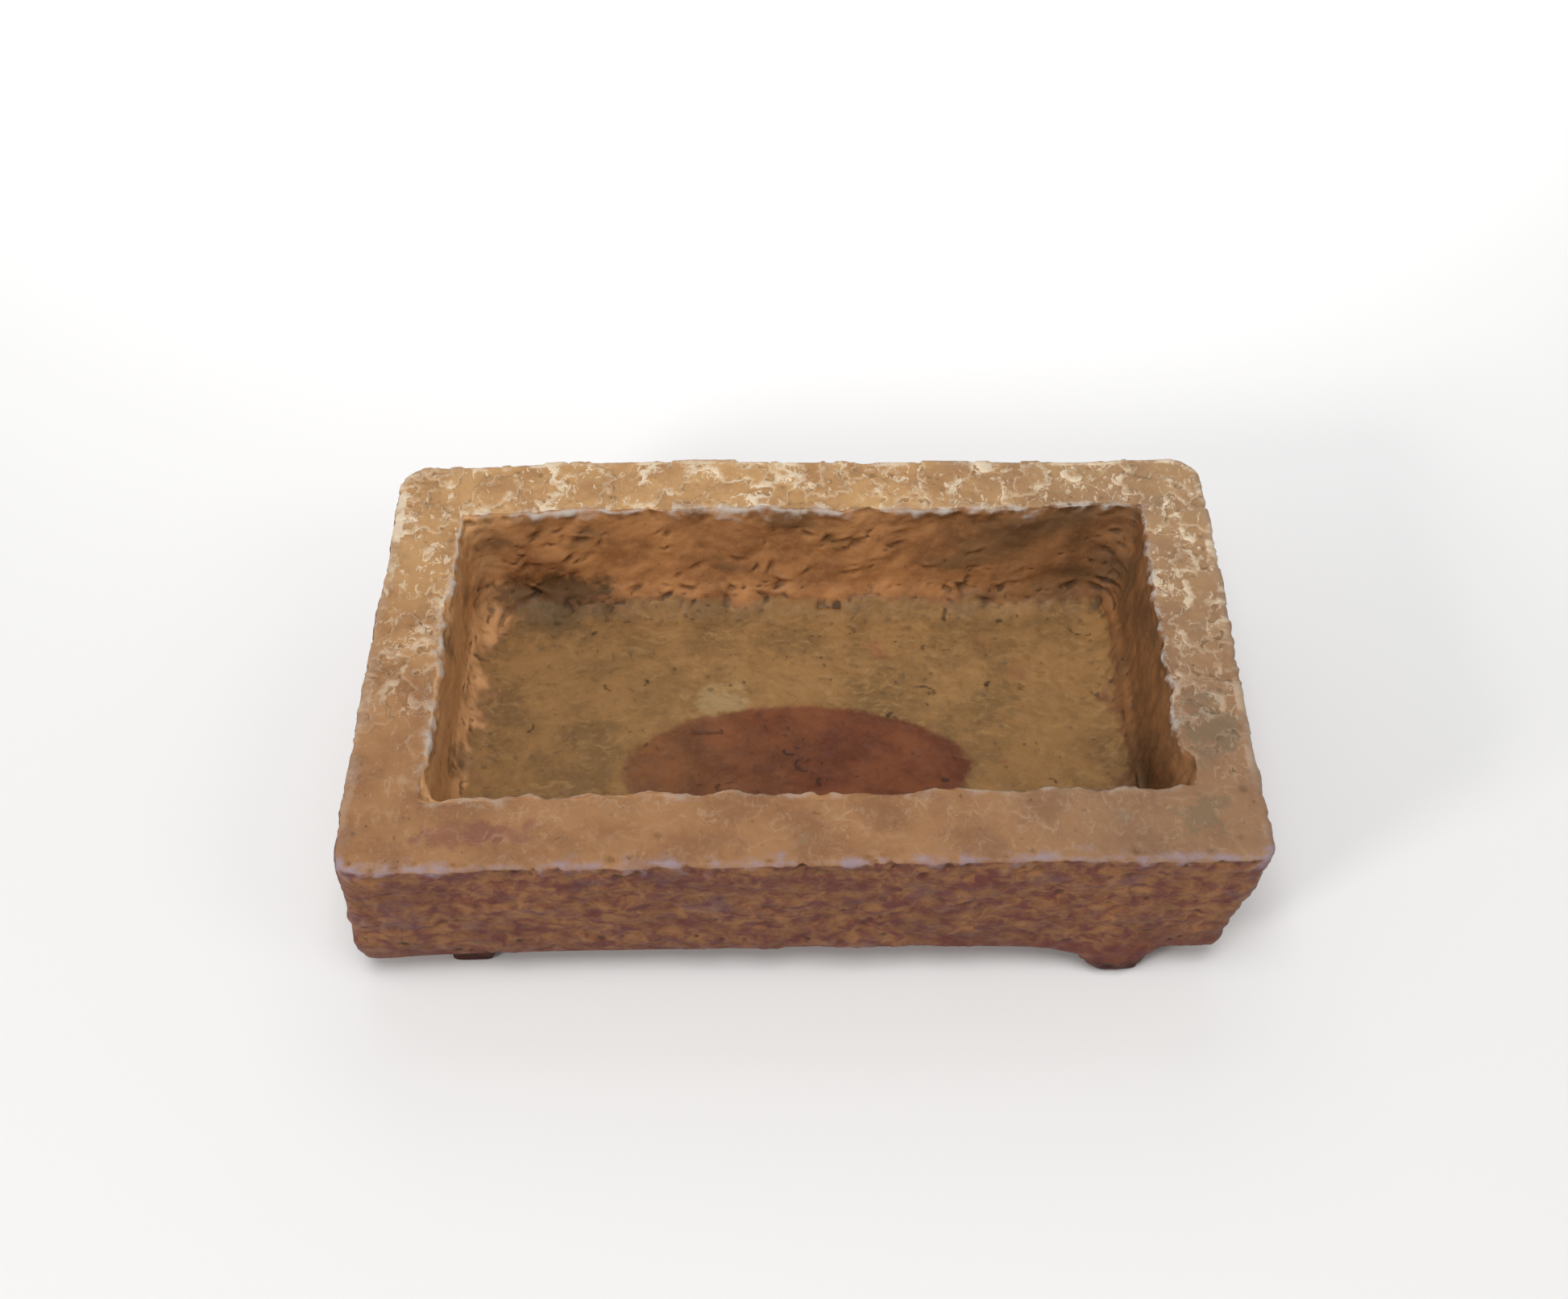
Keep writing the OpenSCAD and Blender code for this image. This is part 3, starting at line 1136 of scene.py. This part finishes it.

# %% [markdown]
# ## Soil and painted shade in the hollows
#
# The pot has held soil, and some stays in every scratch, and the hollows are also darkened
# as painted shade. The `fine` trait is negative in a hollow. The darkening doesn't fill all
# hollows alike, so slow noise thins it out.

# %% Hollow soil and painted shade
hollow_soil_and_shade, incoming, leaving = new_group(
    "hollow_soil_and_shade",
    [("Colour", "colour"), ("Soil_and_shade", "colour"), ("Amount", "value")],
    [("Colour", "colour")])
tree = hollow_soil_and_shade
# hollows are darkened, for soil and as painted shade
deep = step(tree, trait(tree, "fine"), -0.03, -0.14)
patchy = step(tree, clouds(tree, 4.0, seed=7), 0.35, 0.65)
amount = times(tree, times(tree, deep, incoming["Amount"]), plus(tree, 0.45, times(tree, patchy, 0.55)))
wire(tree, leaving["Colour"], blend(tree, amount, incoming["Colour"], incoming["Soil_and_shade"]))
print(tree.name, "has", len(tree.nodes), "nodes")

# %% [markdown]
# ## Fine grain
#
# Sand finer than a millimetre is too small for the mesh, so a bump turns the light instead.
# The group also says where the clay is a little smoother, for the roughness.

# %% Fine grain
GRAIN_DEPTH = 0.25

fine_grain, incoming, leaving = new_group(
    "fine_grain", [("Strength", "value")], [("Normal", "vector"), ("Gloss", "value")])
tree = fine_grain
grit = plus(tree, clouds(tree, 0.9, seed=8, detail=4.0), times(tree, clouds(tree, 0.3, seed=9), 0.35))
bump_inputs = {"Strength": incoming["Strength"], "Distance": GRAIN_DEPTH * MM, "Height": grit}
bump = add(tree, "ShaderNodeBump", {}, bump_inputs)
wire(tree, leaving["Normal"], bump.outputs["Normal"])
wire(tree, leaving["Gloss"], step(tree, clouds(tree, 2.2, seed=10, detail=4.0), 0.35, 0.70))
print(len(bpy.data.node_groups), "effect groups so far")

# %% [markdown]
# ## The colours of the fire
#
# The kiln coloured each region in its own way: the rim ochre, the walls of the well orange
# brown, the floor olive, the outside plum. One group, `fired_skin`, makes all four colours
# and blends them by the traits of the clay, so that a colour runs on over a join without a
# step. The next cells fill this one group, region by region.

# %% Start the fired skin
fired_skin, incoming, leaving = new_group("fired_skin", [], [("Colour", "colour"), ("Rim", "value")])
tree = fired_skin


def stain(centre, reach, ragged, seed):
    """A soft-edged spot around one place, broken up by noise."""
    away = distance(tree, centre, reach)
    blur = times(tree, minus(tree, clouds(tree, 2.5, seed, detail=5.0), 0.5), ragged)
    return step(tree, plus(tree, away, blur), 1.15, 0.45)


across_pot = coordinate(tree, "X")
towards_back = coordinate(tree, "Y")
upwards = coordinate(tree, "Z")
print(tree.name, "started")

# %% [markdown]
# Outside, plum flashing lies over tan clay in flat streaky patches, with darker plum in
# them, bluish smudges, and a redder band along the lower edge, nearest the kiln shelf.

# %% Colour the outside
PLUM = srgb(98, 50, 46)
DEEP_PLUM = srgb(80, 42, 46)
BLUISH = srgb(106, 84, 88)
SHELF_RED = srgb(94, 42, 42)

outer = use(tree, two_tone, {"Light": srgb(148, 102, 63), "Dark": srgb(122, 82, 54)})[0]
flashing = clouds(tree, 2.1, seed=11, stretch=(1.25, 1.1, 0.95), detail=8.0, twist=0.6)
outer = blend(tree, times(tree, step(tree, flashing, 0.36, 0.66), 0.92), outer, PLUM)
deeper = step(tree, clouds(tree, 1.8, seed=12, stretch=(1.3, 1, 1), detail=6.0), 0.50, 0.76)
outer = blend(tree, times(tree, deeper, 0.7), outer, DEEP_PLUM)
smudge = step(tree, clouds(tree, 5.0, seed=13, stretch=(2, 1, 1), detail=3.0), 0.56, 0.72)
outer = blend(tree, times(tree, smudge, 0.4), outer, BLUISH)
low_edge = step(tree, upwards, 9.0, 5.0)
outer = blend(tree, times(tree, low_edge, 0.5), outer, SHELF_RED)
print("outside coloured")

# %% [markdown]
# The rim is ochre, and duller on the right. It is painted paler and yellower towards the
# back, as painted light for the brighter light that falls there. It has greyed in places, and
# has two grey-green spots near its front right corner and a plum one on the left.

# %% Colour the rim
GREYED = srgb(138, 122, 98)
DULL = srgb(130, 108, 90)
GREY_GREEN = srgb(112, 100, 78)
PLUM_SPOT = srgb(116, 62, 62)

ochre = use(tree, two_tone, {"Light": srgb(162, 118, 79), "Dark": srgb(141, 99, 67)})[0]
painted_lit_ochre = use(tree, two_tone, {"Light": srgb(192, 150, 101), "Dark": srgb(166, 124, 83)})[0]
backwards = plus(tree, towards_back, times(tree, clouds(tree, 14.0, seed=14, detail=4.0), 50.0))
# paler towards the back: painted light, for the brighter light on the back of the rim
top = blend(tree, step(tree, backwards, 2.0, 58.0), ochre, painted_lit_ochre)
greyed = step(tree, clouds(tree, 7.0, seed=15, detail=5.0), 0.60, 0.72)
top = blend(tree, times(tree, greyed, 0.45), top, GREYED)
right_side = step(tree, across_pot, 8.0, 50.0)
top = blend(tree, times(tree, right_side, 0.4), top, DULL)
grey_green = calc(tree, "MAXIMUM", stain((55.5, -15.5, rim_z), (5, 5.5, 4), 4.0, 26),
                  stain((52.0, -29.5, rim_z), (4, 3, 4), 4.0, 27))
top = blend(tree, times(tree, grey_green, 0.5), top, GREY_GREEN)
plum_spot = stain((-43, -31.5, rim_z), (9, 2.2, 4), 3.0, 29)
top = blend(tree, times(tree, plum_spot, 0.42), top, PLUM_SPOT)
print("rim coloured")

# %% [markdown]
# The inside walls are orange brown: darkest to the right, brightest at the left end, and
# stained where soil has lain. Two corners of the well are dark, and the dark runs from the
# walls onto the floor: at the back left a dark stain with painted shade in the corner, at the
# front right a painted shadow of the front wall.

# %% Colour the inside walls
LEFT_END = srgb(224, 172, 118)
SOIL_STAIN = srgb(98, 74, 48)
# colour of the dark corners: a stain with painted shade, and a painted shadow
WALL_STAIN_AND_SHADE = srgb(74, 58, 38)

orange = use(tree, two_tone, {"Light": srgb(184, 130, 81), "Dark": srgb(150, 102, 63)})[0]
brown = use(tree, two_tone, {"Light": srgb(142, 98, 60), "Dark": srgb(110, 76, 47)})[0]
rightwards = plus(tree, across_pot, times(tree, clouds(tree, 12.0, seed=16, detail=4.0), 60.0))
wall = blend(tree, step(tree, rightwards, 34.0, 80.0), orange, brown)
left_end = step(tree, across_pot, -40.0, -50.0)
wall = blend(tree, times(tree, left_end, 0.8), wall, LEFT_END)
soiled = step(tree, clouds(tree, 9.0, seed=17, stretch=(1.6, 1, 0.8), detail=5.0), 0.50, 0.66)
wall = blend(tree, times(tree, soiled, 0.6), wall, SOIL_STAIN)
# back left corner: a dark stain, and painted shade where the corner is in shade
back_left_stain_and_shade = times(tree, stain((-38, 24, 12.5), (11, 9, 4.5), 2.2, 23), 0.75)
# front right: a painted shadow that the front wall casts on the right wall and the floor
front_right_painted_shadow = times(tree, stain((50, -20, 12), (7, 17, 7), 1.0, 24), 0.6)
corner_stain_and_shade = calc(tree, "MAXIMUM", back_left_stain_and_shade, front_right_painted_shadow)
wall = blend(tree, corner_stain_and_shade, wall, WALL_STAIN_AND_SHADE)
print("inside walls coloured")

# %% [markdown]
# The floor is olive, with fibrous swirls lighter and darker than the clay, a few grey-green
# specks of mould, and one pale spot behind the red mark.

# %% Colour the floor
PALE_SWIRL = srgb(160, 124, 78)
DARK_SWIRL = srgb(96, 76, 48)
MOULD = srgb(74, 70, 54)
# colour of the dark corners on the floor: stain, painted shade and painted shadow
FLOOR_STAIN_AND_SHADE = srgb(84, 70, 48)
PALE_SPOT = srgb(172, 150, 110)

bed = use(tree, two_tone, {"Light": srgb(152, 113, 68), "Dark": srgb(124, 93, 56)})[0]
swirls = clouds(tree, 3.0, seed=18, stretch=(1.6, 1, 1), detail=6.0, twist=2.2)
bed = blend(tree, times(tree, step(tree, swirls, 0.50, 0.70), 0.7), bed, PALE_SWIRL)
bed = blend(tree, times(tree, step(tree, swirls, 0.42, 0.28), 0.4), bed, DARK_SWIRL)
mould = step(tree, clouds(tree, 3.0, seed=19, detail=4.0), 0.66, 0.78)
bed = blend(tree, times(tree, mould, 0.5), bed, MOULD)
# the dark corners run onto the floor: stain and painted shade at the back left, painted shadow at the front
# right
bed = blend(tree, times(tree, corner_stain_and_shade, 0.7), bed, FLOOR_STAIN_AND_SHADE)
pale_spot = stain((-12, 5, floor_z), (5.0, 3.2, 4), 2.5, 25)
bed = blend(tree, times(tree, pale_spot, 0.45), bed, PALE_SPOT)
print("floor coloured")

# %% [markdown]
# Last, the four colours are laid over each other by the traits. No border on fired clay is
# a clean line, so noise makes each of them wander by a millimetre or so.

# %% Join the regions
wander = times(tree, minus(tree, clouds(tree, 2.4, seed=20, detail=5.0), 0.5), 1.1)
rim_here = step(tree, plus(tree, trait(tree, "rim"), wander), 0.35, 0.62)
floor_here = step(tree, plus(tree, trait(tree, "floor"), wander), 0.15, 0.85)
skin = blend(tree, rim_here, outer, top)
skin = blend(tree, trait(tree, "inside_wall"), skin, wall)
skin = blend(tree, floor_here, skin, bed)
wire(tree, leaving["Colour"], skin)
wire(tree, leaving["Rim"], rim_here)
print(tree.name, "has", len(tree.nodes), "nodes")

# %% [markdown]
# ## Four clays
#
# There are four kinds of piece, and each gets a material. All share the fired skin. Fired clay
# without a glaze is matt, so the shader is rough everywhere and its shine is turned down.

# %% Start and finish a clay
SHINE = 0.25


def new_clay(name):
    """An empty material, its tree and its shader."""
    material = bpy.data.materials.new(name)
    material.use_nodes = True
    return material, material.node_tree, material.node_tree.nodes["Principled BSDF"]


def finish_clay(tree, shader, colour, grain, matt, glossy):
    """Feeds the shader: its colour, its fine grain, and how rough it is."""
    surface = use(tree, fine_grain, {"Strength": grain})
    wire(tree, shader.inputs["Base Color"], colour)
    wire(tree, shader.inputs["Normal"], surface["Normal"])
    rough = add(tree, "ShaderNodeMapRange", {}, {"Value": surface["Gloss"], "To Min": matt, "To Max": glossy})
    wire(tree, shader.inputs["Roughness"], rough.outputs[0])
    shader.inputs["Specular IOR Level"].default_value = SHINE


PALE_LINE = srgb(232, 214, 186)
CHALK = srgb(186, 176, 166)
LAVENDER = srgb(152, 134, 142)
# colour for hollows: soil and painted shade
HOLLOW_SOIL_AND_SHADE = srgb(62, 46, 32)
print("shine", SHINE)

# %% [markdown]
# The wall clay also has the broken crust and the rubbed edges of the rim. The crust lines
# fade towards the front, which was wiped smooth, and grow towards the back, where they are
# partly a painted glint of the light on the back rim. Rubbed clay is chalky around the
# mouth, and mauve along the front edge, where plum shows through.

# %% Wall clay
wall_clay, tree, shader = new_clay("fired_wall_clay")
skin = use(tree, fired_skin)
colour = use(tree, hollow_soil_and_shade, {"Colour": skin["Colour"], "Soil_and_shade": HOLLOW_SOIL_AND_SHADE, "Amount": 0.42})[0]
# more crust line towards the back: partly the crust itself, partly a painted glint on the back rim
behind = step(tree, coordinate(tree, "Y"), -34.0, 30.0)
lines = times(tree, skin["Rim"], plus(tree, 0.12, times(tree, behind, 0.83)))
colour = use(tree, crust_lines, {"Colour": colour, "Line": PALE_LINE, "Amount": lines})[0]
front = step(tree, coordinate(tree, "Y"), -28.5, -32.0)
worn = blend(tree, front, CHALK, LAVENDER)
wear = {"Colour": colour, "Worn": worn, "Start": 0.25, "End": 1.15, "Amount": 0.9}
colour = use(tree, edge_wear, wear)[0]
finish_clay(tree, shader, colour, 0.4, 0.82, 0.55)
print(wall_clay.name, "has", len(tree.nodes), "nodes")

# %% [markdown]
# The floor clay has the one mark that everyone notices: something stood on the floor in the
# kiln and shielded an oval of it, which stayed red brown. It is faded at its left end.

# %% Floor clay, with the red mark
MARK_CENTRE = (-1.0, -8.0, floor_z)
MARK_REACH = (25.5, 12.0, 4.0)
# colour for the floor's hollows: soil and painted shade
FLOOR_HOLLOW_SOIL_AND_SHADE = srgb(46, 34, 26)

floor_clay, tree, shader = new_clay("fired_floor_clay")
red = use(tree, two_tone, {"Light": srgb(124, 70, 42), "Dark": srgb(98, 51, 33)})[0]
uneven = times(tree, minus(tree, clouds(tree, 3.0, seed=21, detail=5.0), 0.5), 0.18)
mark = step(tree, plus(tree, distance(tree, MARK_CENTRE, MARK_REACH), uneven), 1.03, 0.95)
rightwards = plus(tree, coordinate(tree, "X"), times(tree, clouds(tree, 9.0, seed=22), 30.0))
faded = step(tree, rightwards, 16.0, -10.0)
strength = times(tree, mark, minus(tree, 0.95, times(tree, faded, 0.3)))
colour = blend(tree, strength, use(tree, fired_skin)["Colour"], red)
colour = use(tree, hollow_soil_and_shade, {"Colour": colour, "Soil_and_shade": FLOOR_HOLLOW_SOIL_AND_SHADE, "Amount": 0.75})[0]
wear = {"Colour": colour, "Worn": CHALK, "Start": 0.30, "End": 1.0, "Amount": 0.35}
colour = use(tree, edge_wear, wear)[0]
finish_clay(tree, shader, colour, 0.6, 0.80, 0.50)
print(floor_clay.name, "has", len(tree.nodes), "nodes")

# %% [markdown]
# The coils are a little smoother, since a fingertip finished them, and darker in their
# hollows, with more soil and painted shade.

# %% Coil clay
coil_clay, tree, shader = new_clay("fired_coil_clay")
colour = use(tree, fired_skin)["Colour"]
colour = use(tree, hollow_soil_and_shade, {"Colour": colour, "Soil_and_shade": HOLLOW_SOIL_AND_SHADE, "Amount": 0.8})[0]
wear = {"Colour": colour, "Worn": CHALK, "Start": 0.30, "End": 1.0, "Amount": 0.5}
colour = use(tree, edge_wear, wear)[0]
finish_clay(tree, shader, colour, 0.3, 0.75, 0.45)
print(coil_clay.name, "has", len(tree.nodes), "nodes")

# %% [markdown]
# The feet are darker towards their pads: painted shade, for the shade under the pot.

# %% Foot clay
# colour of the painted shade on the feet
FOOT_PAINTED_SHADE = srgb(132, 102, 100)
RUBBED_FOOT = srgb(140, 100, 88)

foot_clay, tree, shader = new_clay("fired_foot_clay")
# painted shade under the pot, strongest at the pads
painted_foot_shade = times(tree, step(tree, coordinate(tree, "Z"), base_z + 0.2, 1.5), 0.9)
colour = blend(tree, painted_foot_shade, use(tree, fired_skin)["Colour"], FOOT_PAINTED_SHADE, "MULTIPLY")
colour = use(tree, hollow_soil_and_shade, {"Colour": colour, "Soil_and_shade": HOLLOW_SOIL_AND_SHADE, "Amount": 0.5})[0]
wear = {"Colour": colour, "Worn": RUBBED_FOOT, "Start": 0.35, "End": 0.6, "Amount": 0.4}
colour = use(tree, edge_wear, wear)[0]
finish_clay(tree, shader, colour, 0.4, 0.85, 0.60)
print(foot_clay.name, "has", len(tree.nodes), "nodes")

# %% [markdown]
# ## Hand over the pieces
#
# Each piece rides on the frame's root, takes the place of its plain node and is given its
# clay. The pot has no joints, so nothing else has to move.

# %% Dress the pieces
clays = {"wall": wall_clay, "slab": floor_clay, "coil": coil_clay, "foot": foot_clay}
for name, piece in pieces.items():
    kind = next(word for word in clays if word in name)
    piece.data.transform(Matrix.Scale(MM, 4))
    piece.data.materials.clear()
    piece.data.materials.append(clays[kind])
    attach(piece, "root")
    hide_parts(name)
